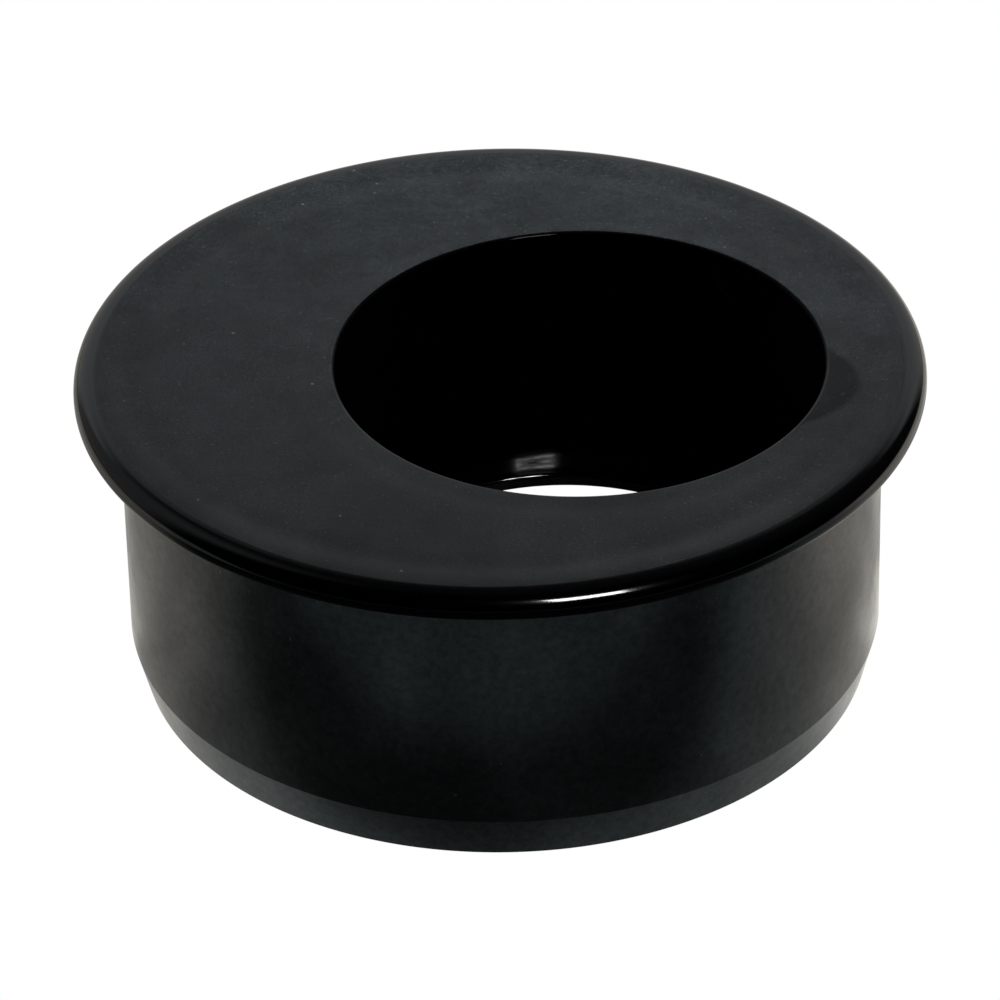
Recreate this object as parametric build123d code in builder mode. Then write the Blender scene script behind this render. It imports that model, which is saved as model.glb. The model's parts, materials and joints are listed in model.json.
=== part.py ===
from build123d import *
import os

# Eccentric reducing adaptor for a drain pipe: one moulding with a round flange, a spigot
# below it that slides into the larger pipe, and an off-centre socket for the smaller pipe.
# Origin at the centre of the bottom rim, +Z up, millimetres. The socket is offset along +X.

# Spigot: the outside that enters the larger pipe
spigot_radius = 55.0
lead_in_height = 6.7
lead_in_radius = 53.3
wall = 3.5

# Flange: the plate that closes the larger pipe and stops the spigot
total_height = 48.9
flange_radius = 61.3
flange_thickness = 4.0
flange_top_edge = 2.4
flange_lower_edge = 1.2

# Socket: the off-centre bore for the smaller pipe, with a stop ledge at its foot
socket_offset = 11.5
socket_radius = 35.2
socket_foot_height = 6.7
stop_thickness = 2.0
stop_offset = 8.5
stop_opening_radius = 31.0
shared_wall_width = 32.0

# Small radii left by the mould
socket_mouth_round = 0.6
stop_edge_round = 0.5
rim_round = 0.4
flange_root_round = 0.8
pocket_corner_round = 0.6
pocket_ceiling_round = 0.5

# How near an edge or face must lie to a size to be picked by it
pick_tolerance = 0.01

# Sizes that follow from the ones above
flange_underside = total_height - flange_thickness
spigot_inner_radius = spigot_radius - wall
socket_outer_radius = socket_radius + wall
stop_top = socket_foot_height + stop_thickness


def circle_edges_at(part, height, radius):
    """The circular edges of a part that lie level at one height and have one radius."""
    return part.edges().filter_by(GeomType.CIRCLE).filter_by(
        lambda edge: abs(edge.center().Z - height) < pick_tolerance and abs(edge.radius - radius) < pick_tolerance
    )


# Adaptor body: the outside is turned as one profile, then the hollows are cut from it
with BuildPart() as adaptor_body:
    with BuildSketch(Plane.XZ):
        with BuildLine():
            Polyline(
                (0, 0),
                (lead_in_radius, 0),
                (spigot_radius, lead_in_height),
                (spigot_radius, flange_underside),
                (flange_radius, flange_underside),
                (flange_radius, total_height),
                (0, total_height),
                close=True,
            )
        make_face()
    revolve(axis=Axis.Z)

    # Space inside the bottom of the spigot, below the foot of the socket
    with BuildSketch(Plane.XY):
        Circle(spigot_inner_radius)
    extrude(amount=socket_foot_height, mode=Mode.SUBTRACT)

    # Crescent pocket between the spigot wall and the socket wall. On the +X side the two walls
    # come so close that they are moulded as one, across the width of the shared wall.
    with BuildSketch(Plane.XY.offset(socket_foot_height)) as pocket:
        Circle(spigot_inner_radius)
        with Locations((socket_offset, 0)):
            Circle(socket_outer_radius, mode=Mode.SUBTRACT)
        with Locations((spigot_inner_radius, 0)):
            Rectangle(spigot_inner_radius, shared_wall_width, mode=Mode.SUBTRACT)
        fillet(pocket.vertices(), radius=pocket_corner_round)
    extrude(amount=flange_underside - socket_foot_height, mode=Mode.SUBTRACT)

    # Socket bore, down to the stop ledge
    with BuildSketch(Plane.XY.offset(stop_top)):
        with Locations((socket_offset, 0)):
            Circle(socket_radius)
    extrude(amount=total_height - stop_top, mode=Mode.SUBTRACT)

    # Opening through the stop ledge
    with BuildSketch(Plane.XY.offset(socket_foot_height)):
        with Locations((stop_offset, 0)):
            Circle(stop_opening_radius)
    extrude(amount=stop_thickness, mode=Mode.SUBTRACT)

    # Rounded edges
    fillet(circle_edges_at(adaptor_body, total_height, flange_radius), radius=flange_top_edge)
    fillet(circle_edges_at(adaptor_body, flange_underside, flange_radius), radius=flange_lower_edge)
    fillet(circle_edges_at(adaptor_body, flange_underside, spigot_radius), radius=flange_root_round)
    fillet(circle_edges_at(adaptor_body, total_height, socket_radius), radius=socket_mouth_round)
    fillet(circle_edges_at(adaptor_body, stop_top, stop_opening_radius), radius=stop_edge_round)
    fillet(circle_edges_at(adaptor_body, 0, lead_in_radius), radius=rim_round)
    fillet(circle_edges_at(adaptor_body, 0, spigot_inner_radius), radius=rim_round)
    pocket_ceiling = adaptor_body.faces().filter_by(Axis.Z).filter_by(
        lambda face: abs(face.center().Z - flange_underside) < pick_tolerance and face.normal_at().Z < 0
    ).sort_by(SortBy.AREA)[-1]
    fillet(pocket_ceiling.outer_wire().edges(), radius=pocket_ceiling_round)

adaptor_body.part.label = "adaptor_body"

os.makedirs("parts", exist_ok=True)
export_step(adaptor_body.part, "parts/adaptor_body.step")
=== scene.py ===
import json
import math
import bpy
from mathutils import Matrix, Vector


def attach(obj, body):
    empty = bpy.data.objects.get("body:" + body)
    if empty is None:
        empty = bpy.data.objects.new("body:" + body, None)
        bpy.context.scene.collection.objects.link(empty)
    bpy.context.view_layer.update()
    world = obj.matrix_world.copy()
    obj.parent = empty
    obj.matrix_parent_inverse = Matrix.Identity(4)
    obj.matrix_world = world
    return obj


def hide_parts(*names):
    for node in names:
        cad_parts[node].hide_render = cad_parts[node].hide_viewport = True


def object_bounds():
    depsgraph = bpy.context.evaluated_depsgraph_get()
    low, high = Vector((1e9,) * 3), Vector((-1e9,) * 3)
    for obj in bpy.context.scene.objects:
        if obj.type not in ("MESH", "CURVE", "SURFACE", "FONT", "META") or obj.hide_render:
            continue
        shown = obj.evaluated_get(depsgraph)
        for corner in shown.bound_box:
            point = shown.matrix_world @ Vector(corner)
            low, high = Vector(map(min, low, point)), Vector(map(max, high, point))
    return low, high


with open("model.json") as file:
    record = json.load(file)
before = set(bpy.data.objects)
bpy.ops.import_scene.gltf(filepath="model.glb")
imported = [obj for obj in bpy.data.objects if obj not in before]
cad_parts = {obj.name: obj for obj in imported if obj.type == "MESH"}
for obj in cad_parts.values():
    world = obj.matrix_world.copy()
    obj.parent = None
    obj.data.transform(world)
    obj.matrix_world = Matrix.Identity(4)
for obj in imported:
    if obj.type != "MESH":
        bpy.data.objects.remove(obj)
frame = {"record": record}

from types import SimpleNamespace

import bmesh
import bpy
from mathutils import Matrix, Vector

cad_low, cad_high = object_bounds()

# Sizes of the adaptor, in metres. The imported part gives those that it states.
millimetre = 0.001
mounts = {mount["name"]: mount for mount in frame["record"]["mounts"]}
flange_top = cad_high.z
flange_radius = (cad_high.x - cad_low.x) / 2
flange_underside = mounts["flange_underside"]["pos_m"][2]
spigot_radius = mounts["spigot"]["dims"]["r_mm"] * millimetre
spigot_length = mounts["spigot"]["dims"]["length_mm"] * millimetre
socket_radius = mounts["socket"]["dims"]["r_mm"] * millimetre
socket_length = mounts["socket"]["dims"]["length_mm"] * millimetre
socket_offset = mounts["socket"]["pos_m"][0]

# The rest are the part's own driving dimensions
wall = 3.5 * millimetre
lead_in_radius = 53.3 * millimetre
flange_top_edge = 2.4 * millimetre
flange_lower_edge = 1.2 * millimetre
flange_root_round = 0.8 * millimetre
socket_mouth_round = 0.6 * millimetre
stop_thickness = 2.0 * millimetre
stop_offset = 8.5 * millimetre
stop_opening_radius = 31.0 * millimetre
stop_edge_round = 0.5 * millimetre
rim_round = 0.4 * millimetre
shared_wall_width = 32.0 * millimetre
pocket_ceiling_round = 0.5 * millimetre

# Sizes that follow from the ones above
lead_in_height = flange_underside - flange_root_round - spigot_length
stop_top = flange_top - socket_mouth_round - socket_length
foot_height = stop_top - stop_thickness
spigot_inner_radius = spigot_radius - wall
socket_outer_radius = socket_radius + wall

# The flange's top is drawn in over the walls below it, as thick sections of a moulding are: how far, and
# over how wide a band
spigot_sink = 0.18 * millimetre
spigot_sink_width = 2.3 * millimetre
socket_sink = 0.07 * millimetre
socket_sink_width = 1.8 * millimetre

# It also droops towards its rim: how far in from the rim that starts, how far on it is steepest, and how
# much it bends, with the last two in millimetres
droop_width = 5.4 * millimetre
droop_steepest = 3
droop_bend = 0.0146


# ---------------------------------------------------------------- the moulding's mesh

# The pocket's outer arc and inner arc each run from the shared wall round the back of the socket to the
# shared wall again. They start at these angles, which leave corner rounds close to 0.6 mm.
outer_arc_start = math.radians(19)
inner_arc_start = math.radians(25)

# How finely the skin is divided
arc_steps = 310
shared_wall_steps = 50
round_steps = 14
lip_steps = 22
corner_steps = 16
top_steps = 56
wall_steps = 8
ledge_steps = 6
underside_steps = 6
recess_steps = 4
pocket_steps = 6

weld_distance = 0.0005 * millimetre
sharp_angle = math.radians(11)


def spread(low, high, steps):
    """Evenly spaced values from low to high, both included."""
    return [low + (high - low) * step / steps for step in range(steps + 1)]


outer_angles = spread(outer_arc_start, 2 * math.pi - outer_arc_start, arc_steps)
inner_angles = spread(inner_arc_start, 2 * math.pi - inner_arc_start, arc_steps)
ring_angles = outer_angles + spread(-outer_arc_start, outer_arc_start, shared_wall_steps)[1:-1]


def arc_profile(radius, height, round_radius, start, end, steps=round_steps):
    """Points (radius, height) along a round of a section, from one angle in degrees to another."""
    return [
        (radius + round_radius * math.cos(angle), height + round_radius * math.sin(angle))
        for angle in spread(math.radians(start), math.radians(end), steps)
    ]


def droop(past):
    """The droop in millimetres, that far past its start: it bends down, then its slope dies away."""
    bend = droop_bend * min(max(past, 0), droop_steepest) ** 2
    beyond = max(past - droop_steepest, 0)
    return bend + 2 * droop_bend * droop_steepest * beyond * math.exp(-beyond)


def sink(x, y):
    """How far the flange's top lies below its full height at a place."""
    from_axis = math.hypot(x, y)
    from_socket = math.hypot(x - socket_offset, y)
    over_spigot = math.exp(-((from_axis - spigot_radius + wall / 2) / spigot_sink_width) ** 2)
    over_socket = math.exp(-((from_socket - socket_outer_radius) / socket_sink_width) ** 2)
    past = (from_axis - flange_radius + droop_width) / millimetre
    return spigot_sink * over_spigot + socket_sink * over_socket + droop(past) * millimetre


def add_ring(mesh, centre_x, radius, height, sunk=False):
    """A level ring of vertices about an upright axis at x = centre_x."""
    ring = []
    for angle in ring_angles:
        x = centre_x + radius * math.cos(angle)
        y = radius * math.sin(angle)
        z = height - sink(x, y) if sunk else height
        ring.append(mesh.verts.new((x, y, z)))
    return ring


def bridge(mesh, first, second, closed=True):
    """Quads between two rows of vertices of the same length."""
    count = len(first)
    for index in range(count if closed else count - 1):
        following = (index + 1) % count
        mesh.faces.new((first[index], first[following], second[following], second[index]))


def blend_rings(start, end, steps):
    """The (centre_x, radius) pairs strictly between two circles, sliding evenly from one to the other."""
    centres = spread(start[0], end[0], steps)
    radii = spread(start[1], end[1], steps)
    return list(zip(centres, radii))[1:-1]


def lead_in_rim():
    """The lead-in's cone, its rounded foot and the flat rim that the part stands on."""
    run = spigot_radius - lead_in_radius
    slope = math.hypot(run, lead_in_height)
    outward = lead_in_height / slope
    downward = run / slope
    round_centre = lead_in_radius - rim_round * (1 - downward) / outward
    tilt = math.degrees(math.atan2(-downward, outward))
    inner_centre = spigot_inner_radius + rim_round
    profile = arc_profile(round_centre, rim_round, rim_round, tilt, -90)
    profile += arc_profile(inner_centre, rim_round, rim_round, -90, -180)
    return profile


def bore_rings():
    """The level circles from the stop ledge's lower edge up to the socket's mouth."""
    rings = [(stop_offset, stop_opening_radius, foot_height, False)]
    ledge_edge = stop_opening_radius + stop_edge_round
    for radius, height in arc_profile(ledge_edge, stop_top - stop_edge_round, stop_edge_round, 180, 90):
        rings.append((stop_offset, radius, height, False))
    for centre, radius in blend_rings((stop_offset, ledge_edge), (socket_offset, socket_radius), ledge_steps):
        rings.append((centre, radius, stop_top, False))
    mouth_foot = flange_top - socket_mouth_round
    for height in spread(stop_top, mouth_foot, wall_steps)[:-1]:
        rings.append((socket_offset, socket_radius, height, False))
    mouth = socket_radius + socket_mouth_round
    for radius, height in arc_profile(mouth, mouth_foot, socket_mouth_round, 180, 90):
        rings.append((socket_offset, radius, height, True))
    return rings


def flange_rings():
    """The level circles across the flange's top, round its edge and back in below it."""
    rings = []
    mouth = socket_radius + socket_mouth_round
    flat_edge = flange_radius - flange_top_edge
    for centre, radius in blend_rings((socket_offset, mouth), (0, flat_edge), top_steps):
        rings.append((centre, radius, flange_top, True))
    lip_height = flange_top - flange_top_edge
    for radius, height in arc_profile(flat_edge, lip_height, flange_top_edge, 90, 0, lip_steps):
        rings.append((0, radius, height, True))
    lower_centre = flange_radius - flange_lower_edge
    lower_height = flange_underside + flange_lower_edge
    for radius, height in arc_profile(lower_centre, lower_height, flange_lower_edge, 0, -90):
        rings.append((0, radius, height, False))
    root_centre = spigot_radius + flange_root_round
    for radius in spread(lower_centre, root_centre, underside_steps)[1:-1]:
        rings.append((0, radius, flange_underside, False))
    root_height = flange_underside - flange_root_round
    for radius, height in arc_profile(root_centre, root_height, flange_root_round, 90, 180):
        rings.append((0, radius, height, False))
    return rings


def spigot_rings():
    """The level circles down the spigot's outside and up the inside of its foot."""
    rings = []
    root_height = flange_underside - flange_root_round
    for height in spread(root_height, lead_in_height, wall_steps)[1:]:
        rings.append((0, spigot_radius, height, False))
    for radius, height in lead_in_rim():
        rings.append((0, radius, height, False))
    for height in spread(rim_round, foot_height, recess_steps)[1:]:
        rings.append((0, spigot_inner_radius, height, False))
    return rings


def corner_round(radius, angle, outside):
    """The round that meets the shared wall's face and an arc of the pocket where that arc starts."""
    face = shared_wall_width / 2
    if outside:
        return (radius * math.sin(angle) - face) / (1 + math.sin(angle))
    return (radius * math.sin(angle) - face) / (1 - math.sin(angle))


def pocket_side(inset, outside):
    """One side of the pocket's outline, from the shared wall's +Y face to its -Y face, moved in."""
    radius = spigot_inner_radius if outside else socket_outer_radius
    start = outer_arc_start if outside else inner_arc_start
    centre_x = 0 if outside else socket_offset
    round_radius = corner_round(radius, start, outside)
    reach = radius - round_radius if outside else radius + round_radius
    corner = (centre_x + reach * math.cos(start), reach * math.sin(start))
    turn_end = start if outside else start - math.pi
    turn = spread(-math.pi / 2, turn_end, corner_steps)
    left = round_radius - inset
    first = [(corner[0] + left * math.cos(angle), corner[1] + left * math.sin(angle)) for angle in turn]
    arc_radius = radius - inset if outside else radius + inset
    angles = outer_angles if outside else inner_angles
    middle = [
        (centre_x + arc_radius * math.cos(angle), arc_radius * math.sin(angle)) for angle in angles[1:-1]
    ]
    last = [(x, -y) for x, y in reversed(first)]
    return first + middle + last


def pocket_row(mesh, inset, height):
    """The pocket's closed outline at one height, as its outer side and its inner side."""
    outer = [mesh.verts.new((x, y, height)) for x, y in pocket_side(inset, True)]
    inner = [mesh.verts.new((x, y, height)) for x, y in pocket_side(inset, False)]
    return outer, inner


def add_pocket(mesh):
    """The crescent pocket's walls, the round at its top and its ceiling."""
    wall_top = flange_underside - pocket_ceiling_round
    rows = [pocket_row(mesh, 0, height) for height in spread(foot_height, wall_top, pocket_steps)]
    for radius, height in arc_profile(0, wall_top, pocket_ceiling_round, 0, 90)[1:]:
        rows.append(pocket_row(mesh, pocket_ceiling_round - radius, height))
    for (outer, inner), (next_outer, next_inner) in zip(rows[:-1], rows[1:]):
        loop = outer + list(reversed(inner))
        next_loop = next_outer + list(reversed(next_inner))
        bridge(mesh, loop, next_loop)
    outer, inner = rows[-1]
    bridge(mesh, outer, inner, closed=False)


def close_foot(mesh):
    """The flat underside of the stop ledge and the shared wall."""
    open_edges = [edge for edge in mesh.edges if len(edge.link_faces) == 1]
    bmesh.ops.triangle_fill(mesh, edges=open_edges, use_beauty=True, normal=(0, 0, -1))


def build_moulding():
    """The whole adaptor as one closed skin."""
    mesh = bmesh.new()
    previous = None
    for centre_x, radius, height, sunk in bore_rings() + flange_rings() + spigot_rings():
        ring = add_ring(mesh, centre_x, radius, height, sunk)
        if previous:
            bridge(mesh, previous, ring)
        previous = ring
    add_pocket(mesh)
    bmesh.ops.remove_doubles(mesh, verts=mesh.verts, dist=weld_distance)
    close_foot(mesh)
    bmesh.ops.recalc_face_normals(mesh, faces=mesh.faces)
    data = bpy.data.meshes.new("adaptor_moulding")
    mesh.to_mesh(data)
    mesh.free()
    data.shade_smooth()
    data.set_sharp_from_angle(angle=sharp_angle)
    piece = bpy.data.objects.new("adaptor_moulding", data)
    bpy.context.scene.collection.objects.link(piece)
    weighted = piece.modifiers.new("face_area_normals", "WEIGHTED_NORMAL")
    weighted.keep_sharp = True
    weighted.weight = 100
    return piece


# ---------------------------------------------------------------- node helpers

class Nodes:
    """Short calls for the nodes of one tree. A socket or a plain number serves as any input."""

    def __init__(self, tree):
        self.tree = tree

    def link(self, value, socket):
        if isinstance(value, bpy.types.NodeSocket):
            self.tree.links.new(value, socket)
        else:
            socket.default_value = value

    def add(self, kind, **settings):
        node = self.tree.nodes.new(kind)
        for name, value in settings.items():
            setattr(node, name, value)
        return node

    def math(self, operation, *values):
        node = self.add("ShaderNodeMath", operation=operation)
        for value, socket in zip(values, node.inputs):
            self.link(value, socket)
        return node.outputs[0]

    def product(self, *values):
        result = values[0]
        for value in values[1:]:
            result = self.math("MULTIPLY", result, value)
        return result

    def total(self, *values):
        result = values[0]
        for value in values[1:]:
            result = self.math("ADD", result, value)
        return result

    def most(self, *values):
        result = values[0]
        for value in values[1:]:
            result = self.math("MAXIMUM", result, value)
        return result

    def rest(self, value):
        """What is left of one."""
        return self.math("SUBTRACT", 1.0, value)

    def length(self, x, y):
        return self.math("POWER", self.total(self.product(x, x), self.product(y, y)), 0.5)

    def smooth(self, value, low, high, start=0.0, end=1.0):
        """From start to end, smoothly, as value goes from low to high."""
        node = self.add("ShaderNodeMapRange", interpolation_type="SMOOTHSTEP")
        for item, socket in zip((value, low, high, start, end), node.inputs):
            self.link(item, socket)
        return node.outputs[0]

    def vary(self, texture, start, end):
        """From start to end over the middle of a noise's range, where nearly all of its values lie."""
        return self.smooth(texture, 0.3, 0.7, start, end)

    def mix(self, factor, first, second):
        node = self.add("ShaderNodeMix", data_type="FLOAT")
        for item, index in ((factor, 0), (first, 2), (second, 3)):
            self.link(item, node.inputs[index])
        return node.outputs[0]

    def mix_colour(self, factor, first, second, blend="MIX"):
        node = self.add("ShaderNodeMix", data_type="RGBA", blend_type=blend)
        for item, index in ((factor, 0), (first, 6), (second, 7)):
            self.link(item, node.inputs[index])
        return node.outputs[2]

    def noise(self, vector, scale, detail=3.0, roughness=0.55, distortion=0.0):
        node = self.add("ShaderNodeTexNoise")
        self.link(vector, node.inputs["Vector"])
        node.inputs["Scale"].default_value = scale
        node.inputs["Detail"].default_value = detail
        node.inputs["Roughness"].default_value = roughness
        node.inputs["Distortion"].default_value = distortion
        return node.outputs["Fac"]

    def cells(self, vector, scale):
        node = self.add("ShaderNodeTexVoronoi")
        self.link(vector, node.inputs["Vector"])
        node.inputs["Scale"].default_value = scale
        return node

    def scatter(self, vector, scale, share, size, offset):
        """Spots at random: a share of the cells each hold one, of up to that size in cells."""
        cells = self.cells(self.stretch(vector, location=offset), scale)
        chance = self.add("ShaderNodeSeparateColor")
        self.link(cells.outputs["Color"], chance.inputs[0])
        chosen = self.smooth(chance.outputs[0], share, share * 0.9)
        radius = self.mix(chance.outputs[1], size * 0.4, size)
        past_edge = self.math("SUBTRACT", cells.outputs["Distance"], radius)
        return self.product(self.smooth(past_edge, 0.0, -0.05), chosen)

    def stretch(self, vector, scale=(1, 1, 1), rotation=(0, 0, 0), location=(0, 0, 0)):
        node = self.add("ShaderNodeMapping")
        self.link(vector, node.inputs["Vector"])
        node.inputs["Location"].default_value = location
        node.inputs["Rotation"].default_value = rotation
        node.inputs["Scale"].default_value = scale
        return node.outputs[0]

    def axes(self, vector):
        node = self.add("ShaderNodeSeparateXYZ")
        self.link(vector, node.inputs[0])
        return node.outputs

    def coordinate(self, name):
        return self.add("ShaderNodeTexCoord").outputs[name]


def empty_nodes(owner):
    """The node tree of a material or world, with nothing in it."""
    owner.use_nodes = True
    owner.node_tree.nodes.clear()
    return Nodes(owner.node_tree)


# ---------------------------------------------------------------- material of the moulding

# Colours, as one or as the two that a surface varies between
polished_black = (0.0022, 0.0022, 0.0024, 1)
top_colours = (0.0094, 0.0118, 0.0134, 1), (0.0130, 0.0160, 0.0180, 1)
barrel_colours = (0.0016, 0.0024, 0.0030, 1), (0.0046, 0.0062, 0.0070, 1)
# The lead-in's colours are lighter than the wall's: partly painted light, standing in for the light it
# catches from the bright floor; its grain between them is its own
lead_in_colours = (0.0060, 0.0068, 0.0078, 1), (0.030, 0.031, 0.032, 1)
under_colours = (0.008, 0.0085, 0.009, 1), (0.015, 0.0158, 0.017, 1)
dust_colour = (0.42, 0.43, 0.40, 1)
scuff_colour = (0.3, 0.31, 0.31, 1)

# How strongly dust and scuffs show
dust_on_matte = 0.17
dust_on_barrel = 0.14
dust_on_lead_in = 0.16
scuff_strength = 0.05

# Roughness, as one value or as the range that a surface has. Scuffs add to it.
top_roughness = 0.50, 0.60
lip_roughness = 0.10
lower_edge_roughness = 0.26
lower_edge_front_roughness = 0.60
bore_roughness = 0.045, 0.085
foot_roughness = 0.14, 0.07
barrel_roughness = 0.17, 0.27
lead_in_roughness = 0.15, 0.24
under_roughness = 0.34, 0.46
scuff_roughness = 0.15
dust_roughness = 0.9

# Specular level, in the shader's own measure, where 0.5 is plain plastic
plain_specular = 0.5
matte_specular = 0.30
crescent_specular = 0.16
bore_specular = 0.03
foot_specular = 0.20, 0.80
lower_edge_specular = 0.22
lower_edge_front_specular = 0.02
lead_in_gain = 1.75

# The foot of the bore, above the ledge, in millimetres: how far up it is rougher and how far up it shines,
# each with the width of its border
foot_rough_height = 2.5
foot_rough_border = 1.5
foot_shine_height = 0.9
foot_shine_border = 0.6

# The flange's lower edge starts this far below the top. It was set duller in front, between these places
# along Y, because it stood out too brightly there.
lower_edge_depth = 2.0
duller_from = -38
duller_to = -49

# Heights of the relief, in millimetres
matte_grain = 0.010
lead_in_grain = 0.004
matte_fine_grain = 0.006
barrel_fine_grain = 0.0010
barrel_waves = 0.012
under_waves = 0.02
dust_height = 0.02
scuff_height = 0.003

# The crescent beside the socket, darkened as painted shade of a sink mark there, in millimetres: its outer
# limit along X, how much that falls back to either side, the Y of its middle, and how soft its border is
crescent_reach = 51.0
crescent_curve = 0.060
crescent_middle = -4.4
crescent_border = 1.8
# How much darker the crescent's colour is painted: painted shade of the sink mark
crescent_painted_shade = 0.38
crescent_smoothness = 0.14


def places(nodes):
    """Where a point of the surface lies, in millimetres, and how far it faces up."""
    place = SimpleNamespace()
    place.point = nodes.stretch(nodes.coordinate("Object"), scale=(1 / millimetre,) * 3)
    place.x, place.y, place.z = nodes.axes(place.point)
    place.up = nodes.axes(nodes.coordinate("Normal"))[2]
    place.from_axis = nodes.length(place.x, place.y)
    off_x = nodes.math("SUBTRACT", place.x, socket_offset / millimetre)
    place.from_socket = nodes.length(off_x, place.y)
    return place


def finishes(nodes, place):
    """Where each finish lies, from 0 to 1. Most borders are under a millimetre wide."""
    top = flange_top / millimetre
    flat = (flange_radius - flange_top_edge) / millimetre
    mouth = (socket_radius + socket_mouth_round) / millimetre
    spigot = spigot_radius / millimetre
    lead_in_top = lead_in_height / millimetre
    ledge = stop_top / millimetre
    root_foot = (flange_underside - flange_root_round) / millimetre

    on = SimpleNamespace()
    outside_mouth = nodes.smooth(place.from_socket, mouth - 0.35, mouth + 0.1)
    near_top = nodes.smooth(place.z, top - 1.0, top - 0.4)
    inside_rim = nodes.smooth(place.from_axis, flat - 1.3, flat - 0.5, 1.0, 0.0)
    on.matte = nodes.product(inside_rim, outside_mouth, near_top)
    gloss_border = nodes.smooth(place.from_axis, flat - 1.2, flat - 0.3, 1.0, 0.0)
    on.matte_gloss = nodes.product(gloss_border, outside_mouth, near_top)

    on.bore = nodes.product(
        nodes.smooth(place.from_socket, mouth - 0.3, mouth, 1.0, 0.0),
        nodes.smooth(place.z, ledge - 0.7, ledge - 0.3),
    )
    rough_top = ledge + foot_rough_height
    on.foot = nodes.smooth(place.z, rough_top + foot_rough_border, rough_top)
    shine_top = ledge + foot_shine_height
    on.foot_shine = nodes.smooth(place.z, shine_top + foot_shine_border, shine_top)

    outside = nodes.smooth(place.from_axis, spigot - 2.2, spigot - 1.9)
    below_flange = nodes.smooth(place.z, root_foot, root_foot - 0.5)
    edge_top = top - lower_edge_depth
    below_lip = nodes.smooth(place.z, edge_top, edge_top - 0.35)
    on.lower_edge = nodes.product(outside, below_lip, nodes.rest(below_flange))
    on.duller_front = nodes.smooth(place.y, duller_from, duller_to)
    on.lead_in = nodes.product(outside, nodes.smooth(place.z, lead_in_top + 0.15, lead_in_top - 0.25))
    on.barrel = nodes.product(outside, below_flange, nodes.rest(on.lead_in))
    on.handled = nodes.most(on.barrel, on.lead_in)
    inside_spigot = nodes.smooth(place.from_axis, spigot - 2.0, spigot - 2.4)
    on.under = nodes.product(inside_spigot, nodes.rest(nodes.most(on.bore, near_top)))

    # The crescent lies roughly over the shared wall, where the section is thickest. Its darker colour is
    # painted shade, standing in for the shading of the sink mark there
    aside = nodes.math("ADD", place.y, -crescent_middle)
    out = nodes.total(place.x, nodes.product(aside, aside, crescent_curve))
    on.crescent = nodes.product(
        nodes.smooth(out, crescent_reach + crescent_border, crescent_reach),
        nodes.smooth(place.x, 0, 10),
        on.matte,
    )
    return on


def textures(nodes, point):
    """Slow variation in how the plastic filled the mould, finer texture, dust and scuffs."""
    texture = SimpleNamespace()
    texture.clouds = nodes.noise(point, 0.045, 4.0, 0.6, 0.4)
    texture.patches = nodes.noise(nodes.stretch(point, location=(31, 7, 3)), 0.16, 5.0, 0.62)
    texture.mottle = nodes.noise(point, 0.8, 4.0, 0.7)
    texture.grain = nodes.noise(point, 2.6, 3.0, 0.7)
    texture.fine_grain = nodes.noise(point, 7.5, 2.0, 0.6)
    flow_lines = nodes.stretch(point, (0.16, 0.9, 1.9), (0, 0, 0.2), (3, 1, 9))
    texture.flow = nodes.noise(flow_lines, 1.0, 3.0, 0.6)

    # Dust: specks of two sizes, and powder that gathers in patches
    specks = nodes.scatter(point, 0.30, 0.30, 0.10, (3, 8, 1))
    fine_specks = nodes.scatter(point, 1.1, 0.50, 0.24, (9, 2, 5))
    powder = nodes.product(
        nodes.smooth(nodes.cells(point, 2.6).outputs["Distance"], 0.10, 0.40, 1.0, 0.0),
        nodes.smooth(nodes.noise(point, 0.35, 3.0), 0.42, 0.66),
    )
    texture.dust = nodes.most(specks, nodes.product(fine_specks, 0.30), nodes.product(powder, 0.16))

    # Scuffs: short strokes that lie two ways
    texture.scuffs = nodes.most(
        nodes.scatter(nodes.stretch(point, (0.07, 1.0, 1.0), (0.5, 0.2, 0.9)), 1.6, 0.10, 0.16, (5, 9, 2)),
        nodes.scatter(nodes.stretch(point, (1.0, 0.06, 1.0), (0.1, 1.1, -0.5)), 1.6, 0.10, 0.16, (17, 3, 8)),
    )
    return texture


def moulding_colour(nodes, on, texture, dusty):
    """Near black, slightly cool on the top, greyer where the surface is scuffed or dusty. The crescent beside
    the socket is painted darker, as painted shade, and the lead-in lighter, partly as painted light.
    """
    patches = texture.patches
    colour = nodes.mix_colour(
        on.matte, polished_black, nodes.mix_colour(nodes.smooth(patches, 0.32, 0.68), *top_colours)
    )
    # The lead-in's lighter colours are partly painted light from the floor it faces
    for cover, texture_part, colours in (
        (on.barrel, nodes.smooth(patches, 0.35, 0.7), barrel_colours),
        (on.lead_in, nodes.smooth(texture.grain, 0.42, 0.66), lead_in_colours),
        (on.under, nodes.smooth(patches, 0.3, 0.7), under_colours),
    ):
        colour = nodes.mix_colour(cover, colour, nodes.mix_colour(texture_part, *colours))
    lightness = nodes.product(
        nodes.vary(texture.clouds, 0.82, 1.18),
        nodes.vary(texture.mottle, 0.72, 1.28),
        nodes.vary(texture.grain, 0.60, 1.40),
        nodes.vary(texture.fine_grain, 0.8, 1.2),
        # Painted shade: the colour is darkened over the crescent to stand in for the shading of a sink mark
        nodes.mix(on.crescent, 1.0, crescent_painted_shade),
    )
    colour = nodes.mix_colour(1.0, colour, lightness, blend="MULTIPLY")
    colour = nodes.mix_colour(dusty, colour, dust_colour)
    scuffed = nodes.product(texture.scuffs, on.handled, scuff_strength)
    return nodes.mix_colour(scuffed, colour, scuff_colour)


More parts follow.
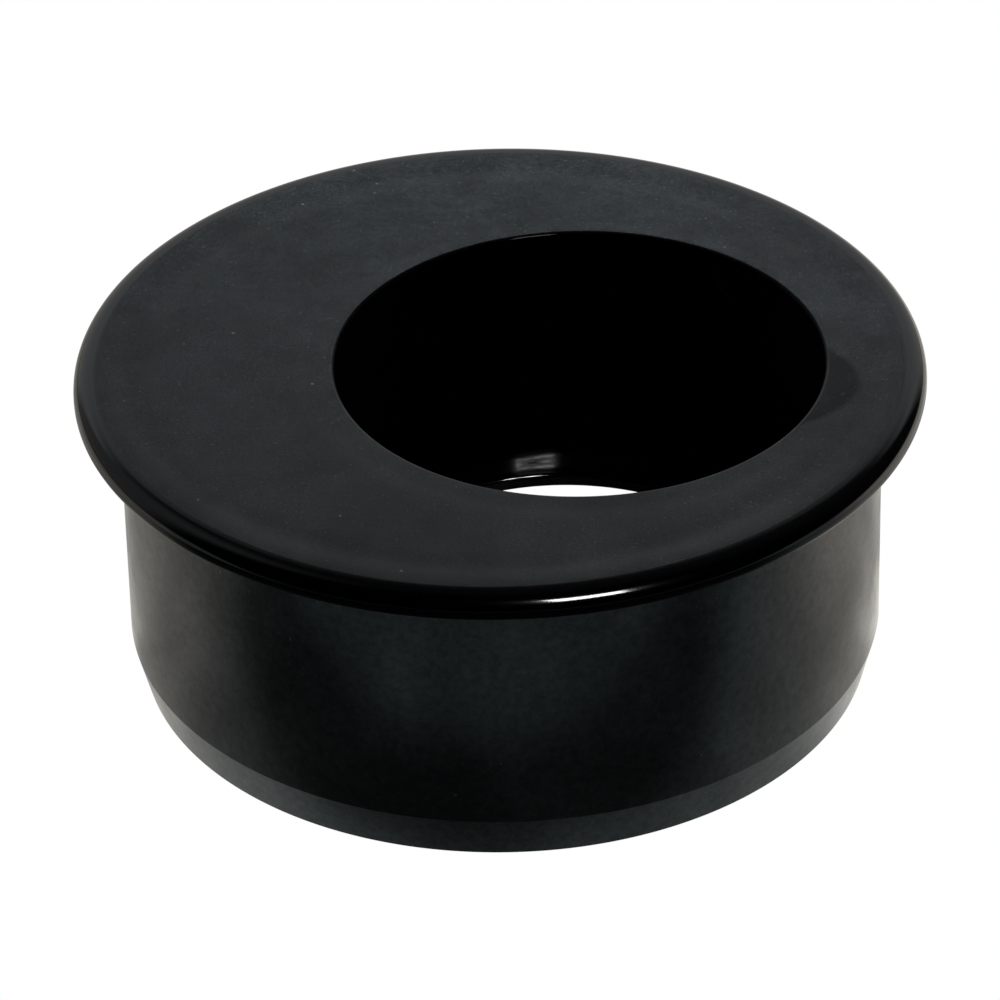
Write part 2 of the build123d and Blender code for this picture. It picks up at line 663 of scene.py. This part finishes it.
def moulding_specular(nodes, on, texture):
    """How strongly each finish mirrors. The bore is close to black, but for flow marks round its foot."""
    flow_marks = nodes.smooth(texture.flow, 0.36, 0.62, *foot_specular)
    specular = nodes.mix(on.bore, plain_specular, nodes.mix(on.foot_shine, bore_specular, flow_marks))
    uneven = nodes.mix(on.handled, 1.0, nodes.vary(texture.mottle, 0.78, 1.22))
    specular = nodes.product(specular, uneven)
    edge = nodes.mix(on.duller_front, lower_edge_specular, lower_edge_front_specular)
    specular = nodes.mix(on.lower_edge, specular, edge)
    specular = nodes.product(specular, nodes.mix(on.lead_in, 1.0, lead_in_gain))
    return nodes.mix(on.matte, specular, nodes.mix(on.crescent, matte_specular, crescent_specular))


def moulding_roughness(nodes, on, texture, dusty):
    """Matte on top, polished on the lip and in the bore, satin on the spigot."""
    patches = texture.patches
    top = nodes.total(
        nodes.vary(texture.mottle, *top_roughness), nodes.product(on.crescent, -crescent_smoothness)
    )
    edge = nodes.mix(on.duller_front, lower_edge_roughness, lower_edge_front_roughness)
    rough = nodes.mix(on.matte_gloss, nodes.mix(on.lower_edge, lip_roughness, edge), top)
    bore = nodes.mix(on.foot, nodes.vary(patches, *bore_roughness), nodes.vary(texture.flow, *foot_roughness))
    rough = nodes.mix(on.bore, rough, bore)
    rough = nodes.mix(on.barrel, rough, nodes.smooth(patches, 0.3, 0.72, *barrel_roughness))
    rough = nodes.mix(on.lead_in, rough, nodes.vary(patches, *lead_in_roughness))
    rough = nodes.mix(on.under, rough, nodes.vary(patches, *under_roughness))
    rough = nodes.total(rough, nodes.product(texture.scuffs, scuff_roughness))
    return nodes.mix(dusty, rough, dust_roughness)


def moulding_relief(nodes, on, texture):
    """Grain on the matte top and the lead-in, faint waves on the satin wall and the underside."""
    grain = nodes.total(nodes.product(on.matte, matte_grain), nodes.product(on.lead_in, lead_in_grain))
    fine = nodes.total(
        nodes.product(on.matte, matte_fine_grain), nodes.product(on.barrel, barrel_fine_grain)
    )
    waves = nodes.total(nodes.product(on.barrel, barrel_waves), nodes.product(on.under, under_waves))
    return nodes.total(
        nodes.product(texture.grain, grain),
        nodes.product(texture.fine_grain, fine),
        nodes.product(texture.patches, waves),
        nodes.product(texture.dust, nodes.most(on.matte, on.barrel), dust_height),
        nodes.product(texture.scuffs, scuff_height),
    )


def black_moulding():
    """Black moulded plastic: the flange's top is matte, its edge and the bore are polished, the spigot
    is satin with handling marks, and the lead-in is scuffed and painted lighter, partly as painted light
    from the floor it faces. Dust lies on the top and on the outside."""
    material = bpy.data.materials.new("black_moulding")
    material.use_nodes = True
    nodes = Nodes(material.node_tree)
    shader = material.node_tree.nodes["Principled BSDF"]
    place = places(nodes)
    on = finishes(nodes, place)
    texture = textures(nodes, place.point)
    dusty = nodes.total(
        nodes.product(texture.dust, on.matte, nodes.smooth(place.up, 0.2, 0.9), dust_on_matte),
        nodes.product(texture.dust, on.barrel, dust_on_barrel),
        nodes.product(texture.dust, on.lead_in, dust_on_lead_in),
    )
    nodes.link(moulding_colour(nodes, on, texture, dusty), shader.inputs["Base Color"])
    nodes.link(moulding_specular(nodes, on, texture), shader.inputs["Specular IOR Level"])
    nodes.link(moulding_roughness(nodes, on, texture, dusty), shader.inputs["Roughness"])
    bump = nodes.add("ShaderNodeBump")
    bump.inputs["Strength"].default_value = 1.0
    bump.inputs["Distance"].default_value = millimetre
    nodes.link(moulding_relief(nodes, on, texture), bump.inputs["Height"])
    nodes.link(bump.outputs[0], shader.inputs["Normal"])
    return material


moulding = build_moulding()
moulding.data.materials.append(black_moulding())
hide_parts("adaptor_body")
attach(moulding, "root")


# ---------------------------------------------------------------- camera

# The socket's side of the object is turned a little towards the camera
turn = math.radians(4.96)
camera_elevation = math.radians(33.556)
camera_distance = 0.8926
camera_roll = math.radians(1.25)
lens_mm = 223.8
sensor_mm = 36.0
aim_below = 20.484 * millimetre
aim_left = 0.390 * millimetre


def add_camera():
    """A long lens that looks down at the flange's top from in front."""
    data = bpy.data.cameras.new("camera")
    data.sensor_width = sensor_mm
    data.lens = lens_mm
    data.clip_start = 0.01
    data.clip_end = 20
    camera = bpy.data.objects.new("camera", data)
    right = Vector((1, 0, 0))
    forward = Vector((0, math.cos(camera_elevation), -math.sin(camera_elevation)))
    above = Vector((0, math.sin(camera_elevation), math.cos(camera_elevation)))
    place = -forward * camera_distance - right * aim_left - above * aim_below
    level_axes = Matrix((right, above, -forward)).transposed()
    axes = level_axes @ Matrix.Rotation(-camera_roll, 3, "Z")
    around = Matrix.Rotation(turn, 3, "Z")
    camera.location = around @ place + Vector((0, 0, flange_top))
    camera.rotation_euler = (around @ axes).to_euler()
    bpy.context.scene.collection.objects.link(camera)
    bpy.context.scene.camera = camera


add_camera()


# ---------------------------------------------------------------- floor, world and lights

white = (1, 1, 1, 1)

# The floor: half its width, and a hair's breadth below the object so that the two don't share a plane
floor_half = 3.0
floor_height = -0.05 * millimetre

# How bright the floor is to every ray but the camera's, near the front and further back, on the left and
# on the right, and how much brighter close beside the object and at its left foot. Places on the floor are
# in millimetres, with X to the camera's right and Y away from it.
left_wash = 0.27, 0.45
right_wash = 0.31, 0.78
beside_gain = 1.4
left_foot_gain = 1.35
floor_front_colour = (0.80, 0.98, 1.0, 1)
floor_back_colour = (1.0, 0.97, 0.90, 1)

# The dark band in front of the object: its Y, its slant and how much light it takes away
shadow_y = -69
shadow_slant = 0.11
shadow_depth = 0.78

# How bright the backdrop is to every ray but the camera's, and the fill at its left, from the fill's edge
# to its brightest part
backdrop_brightness = 0.50
fill_brightness = 0.012, 0.20
horizon_colour = (1.0, 0.93, 0.82, 1)
upper_colour = (0.90, 0.97, 1.0, 1)


def towards(azimuth, elevation):
    """A direction from the object, with azimuth 0 on the camera's side and positive to its right."""
    around = math.radians(azimuth) + turn
    up = math.radians(elevation)
    return Vector((math.sin(around) * math.cos(up), -math.cos(around) * math.cos(up), math.sin(up)))


def floor_sheen(nodes, x, y):
    """How bright the floor is to every ray but the camera's: dark under the object and in a band in front
    of it, brighter at its sides and back."""
    left = nodes.mix(nodes.smooth(y, -52, -16), *left_wash)
    right = nodes.mix(nodes.smooth(y, -52, 22), *right_wash)
    wash = nodes.mix(nodes.smooth(x, -30, 30), left, right)

    # The object's foot is about 53 mm from the middle
    from_middle = nodes.length(x, y)
    uncovered = nodes.smooth(from_middle, 49, 53.5)
    beside = nodes.product(nodes.smooth(from_middle, 74, 58), nodes.smooth(y, -50, -20))
    at_left_foot = nodes.product(nodes.smooth(from_middle, 61, 56), nodes.smooth(x, 0, -35))
    gains = nodes.product(nodes.mix(beside, 1.0, beside_gain), nodes.mix(at_left_foot, 1.0, left_foot_gain))

    to_either_side = nodes.math("ABSOLUTE", x)
    across = nodes.math("ABSOLUTE", nodes.total(y, nodes.product(x, shadow_slant), -shadow_y))
    shadow = nodes.product(
        nodes.smooth(across, 25, 9), nodes.smooth(to_either_side, 125, 85), shadow_depth
    )
    near_end = nodes.smooth(y, -133, -114)
    side_ends = nodes.smooth(to_either_side, 900, 300)
    return nodes.product(wash, gains, nodes.rest(shadow), near_end, side_ends, uncovered)


def floor_white():
    """Plain white to the camera, and seen through from below. To other rays it is dimmer and uneven."""
    material = bpy.data.materials.new("floor_white")
    nodes = empty_nodes(material)
    point = nodes.stretch(nodes.coordinate("Object"), (1 / millimetre,) * 3, (0, 0, -turn))
    x, y, _ = nodes.axes(point)
    unevenness = nodes.vary(nodes.noise(point, 0.03, 2.0, 0.5, 0.6), 0.72, 1.28)
    sheen = nodes.product(floor_sheen(nodes, x, y), unevenness)
    tint = nodes.mix_colour(nodes.smooth(y, -70, -10), floor_front_colour, floor_back_colour)
    seen = nodes.add("ShaderNodeLightPath").outputs["Is Camera Ray"]
    emission = nodes.add("ShaderNodeEmission")
    nodes.link(nodes.mix_colour(seen, tint, white), emission.inputs["Color"])
    nodes.link(nodes.mix(seen, sheen, 1.0), emission.inputs["Strength"])
    seen_through = nodes.add("ShaderNodeMixShader")
    nodes.link(nodes.add("ShaderNodeNewGeometry").outputs["Backfacing"], seen_through.inputs[0])
    nodes.link(emission.outputs[0], seen_through.inputs[1])
    nodes.link(nodes.add("ShaderNodeBsdfTransparent").outputs[0], seen_through.inputs[2])
    output = nodes.add("ShaderNodeOutputMaterial")
    nodes.link(seen_through.outputs[0], output.inputs["Surface"])
    return material


def add_floor():
    """One level sheet that the object stands on."""
    mesh = bpy.data.meshes.new("floor")
    corners = [
        (x * floor_half, y * floor_half, floor_height) for x, y in ((-1, -1), (1, -1), (1, 1), (-1, 1))
    ]
    mesh.from_pydata(corners, [], [(0, 1, 2, 3)])
    mesh.materials.append(floor_white())
    floor = bpy.data.objects.new("floor", mesh)
    bpy.context.scene.collection.objects.link(floor)


def add_light(name, azimuth, elevation, distance, width, height, power, diffuse=True, glossy=True):
    """A soft area light that faces the object."""
    target = Vector((0, 0, flange_top / 2))
    direction = towards(azimuth, elevation)
    data = bpy.data.lights.new(name, "AREA")
    data.shape = "RECTANGLE"
    data.size = width
    data.size_y = height
    data.energy = power
    light = bpy.data.objects.new(name, data)
    light.location = target + direction * distance
    light.rotation_euler = (-direction).to_track_quat("-Z", "Y").to_euler()
    light.visible_diffuse = diffuse
    light.visible_glossy = glossy
    light.visible_camera = False
    bpy.context.scene.collection.objects.link(light)


def add_world():
    """White to the camera. To other rays it is a pale backdrop behind the object, up to a height, with a
    fainter fill at its left, and close to black elsewhere."""
    world = bpy.data.worlds.new("studio")
    nodes = empty_nodes(world)
    x, y, z = nodes.axes(nodes.stretch(nodes.coordinate("Generated"), (1, 1, 1), (0, 0, -turn)))
    from_behind = nodes.math("ARCTAN2", nodes.math("ABSOLUTE", x), y)
    backdrop = nodes.product(
        nodes.smooth(from_behind, math.radians(48), math.radians(32)),
        nodes.smooth(z, 0.70, 0.50),
        backdrop_brightness,
    )
    fill = nodes.product(nodes.smooth(x, -0.15, -0.6, *fill_brightness), nodes.smooth(y, -0.1, 0.3))
    tint = nodes.mix_colour(nodes.smooth(z, 0.05, 0.35), horizon_colour, upper_colour)
    seen = nodes.add("ShaderNodeLightPath").outputs["Is Camera Ray"]
    background = nodes.add("ShaderNodeBackground")
    nodes.link(nodes.mix_colour(seen, tint, white), background.inputs["Color"])
    nodes.link(nodes.mix(seen, nodes.most(backdrop, fill), 1.0), background.inputs["Strength"])
    output = nodes.add("ShaderNodeOutputWorld")
    nodes.link(background.outputs[0], output.inputs["Surface"])
    bpy.context.scene.world = world


add_floor()
add_world()

# The key draws the streaks on the lip and in the bore, and the overhead lights the matte faces
add_light(
    "key", azimuth=22.5, elevation=41, distance=1.2, width=0.33, height=0.32, power=11, diffuse=False
)
add_light(
    "overhead", azimuth=172, elevation=48, distance=0.20, width=0.20, height=0.14, power=0.55, glossy=False
)
bpy.context.scene.view_settings.view_transform = "Standard"
